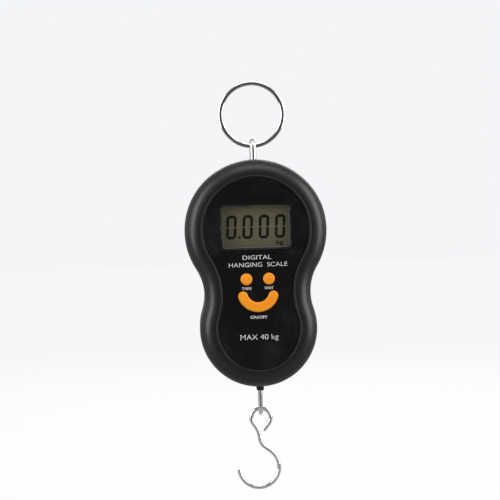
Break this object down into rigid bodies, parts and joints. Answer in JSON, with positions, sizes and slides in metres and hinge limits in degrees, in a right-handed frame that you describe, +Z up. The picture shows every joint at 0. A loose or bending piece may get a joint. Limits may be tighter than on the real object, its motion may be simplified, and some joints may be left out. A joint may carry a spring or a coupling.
{
  "type": "digital hanging scale",
  "caption": "Hand-held digital hanging scale: waisted black casing with display and keys, hung from a split ring, with an S-hook below.",
  "frame": {"origin": "inner top of the split ring, where a finger or a peg carries the whole scale", "axes": "+Z up along the hanging line, +X to the viewer's right with the face towards the viewer, the face looks along -Y"},
  "size_m": [0.0684, 0.0295, 0.199],
  "materials": {
    "casing_black": "satin black moulded plastic",
    "face_gloss_black": "high-gloss black overlay",
    "window_clear": "clear lens",
    "display_olive": "grey-olive liquid crystal glass",
    "key_orange": "satin orange keys",
    "chrome_wire": "bright plated wire",
    "plain_steel": "plain steel",
    "cell_aluminium": "milled plate",
    "board_green": "solder mask",
    "soft_rubber": "black rubber",
    "inner_white": "white moulded plastic",
    "resin_black": "black resin",
    "gauge_foil": "amber foil",
    "battery_jacket": "printed sleeve",
    "lead_red": "red insulation",
    "lead_black": "black insulation"
  },
  "bodies": {
    "ring": {"split_ring": "chrome_wire"},
    "housing": {"battery_lead_negative": "lead_black", "battery_lead_positive": "lead_red", "battery_left": "battery_jacket", "battery_right": "battery_jacket", "board_screw_1": "plain_steel", "board_screw_2": "plain_steel", "board_screw_3": "plain_steel", "board_screw_4": "plain_steel", "case_screw_1": "plain_steel", "case_screw_2": "plain_steel", "case_screw_3": "plain_steel", "case_screw_4": "plain_steel", "circuit_board": "board_green", "contact_bridge": "plain_steel", "contact_negative": "plain_steel", "contact_positive": "plain_steel", "contact_spring_left": "plain_steel", "contact_spring_right": "plain_steel", "controller_chip": "resin_black", "display_glass": "display_olive", "display_holder": "inner_white", "display_window": "window_clear", "face_panel": "face_gloss_black", "front_shell": "casing_black", "gauge_wire_1": "lead_black", "gauge_wire_2": "lead_red", "gauge_wire_3": "lead_black", "gauge_wire_4": "lead_red", "load_cell": "cell_aluminium", "load_cell_screw_1": "plain_steel", "load_cell_screw_2": "plain_steel", "lower_bush": "soft_rubber", "lower_link": "chrome_wire", "power_switch": "resin_black", "rear_shell": "casing_black", "strain_gauge": "gauge_foil", "tare_switch": "resin_black", "top_link": "chrome_wire", "unit_switch": "resin_black", "zebra_strip": "soft_rubber"},
    "hook": {"s_hook": "chrome_wire"},
    "tare_key": {"tare_button": "key_orange", "tare_plunger": "inner_white"},
    "unit_key": {"unit_button": "key_orange", "unit_plunger": "inner_white"},
    "power_key": {"power_button": "key_orange", "power_plunger": "inner_white"},
    "door": {"battery_door": "casing_black"}
  },
  "joints": [
    {"name": "casing_swing", "type": "hinge", "parent": "ring", "child": "housing", "pos_m": [0, 0, -0.0292], "axis": [1, 0, 0], "range_deg": [-100, 100]},
    {"name": "hook_swing", "type": "hinge", "parent": "housing", "child": "hook", "pos_m": [0, 0, -0.15945], "axis": [0, 1, 0], "range_deg": [-90, 90]},
    {"name": "tare_press", "type": "slide", "parent": "housing", "child": "tare_key", "axis": [0, 1, 0], "range_m": [0, 0.0005], "stiffness_N_per_m": 1500},
    {"name": "unit_press", "type": "slide", "parent": "housing", "child": "unit_key", "axis": [0, 1, 0], "range_m": [0, 0.0005], "stiffness_N_per_m": 1500},
    {"name": "power_press", "type": "slide", "parent": "housing", "child": "power_key", "axis": [0, 1, 0], "range_m": [0, 0.0005], "stiffness_N_per_m": 1500},
    {"name": "door_tilt", "type": "hinge", "parent": "housing", "child": "door", "pos_m": [0, 0.0152, -0.0626], "axis": [1, 0, 0], "range_deg": [0, 80]}
  ]
}
